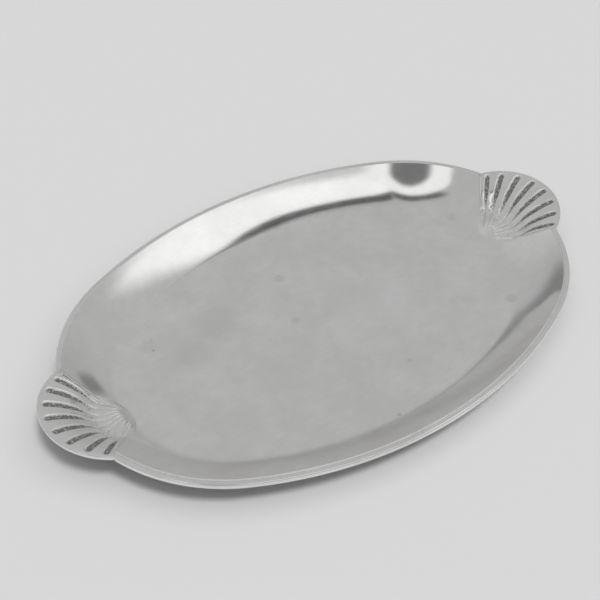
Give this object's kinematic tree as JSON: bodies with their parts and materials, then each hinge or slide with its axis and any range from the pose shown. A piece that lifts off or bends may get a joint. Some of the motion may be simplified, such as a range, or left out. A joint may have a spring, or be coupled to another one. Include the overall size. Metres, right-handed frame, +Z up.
{
  "type": "serving tray",
  "caption": "Shallow oval serving tray in hand-polished cast aluminium, with a flared wall and a fluted scallop-shell handle let into each end.",
  "frame": {"origin": "middle of the flat base, at the height of the surface that the tray rests on", "axes": "+X along the tray from one shell handle to the other, +Y across it, +Z up out of the well"},
  "size_m": [0.4516, 0.29, 0.0345],
  "materials": {
    "cast_aluminium": "hand-polished satin, lightly scratched",
    "shell_casting": "polished ribs with a dull grey patina in the flutes",
    "braze_metal": "filed and buffed filler metal"
  },
  "bodies": {
    "root": {"dish": "cast_aluminium", "left_shell_handle": "shell_casting", "right_shell_handle": "shell_casting", "left_far_braze_bead": "braze_metal", "left_near_braze_bead": "braze_metal", "right_far_braze_bead": "braze_metal", "right_near_braze_bead": "braze_metal"}
  },
  "joints": []
}
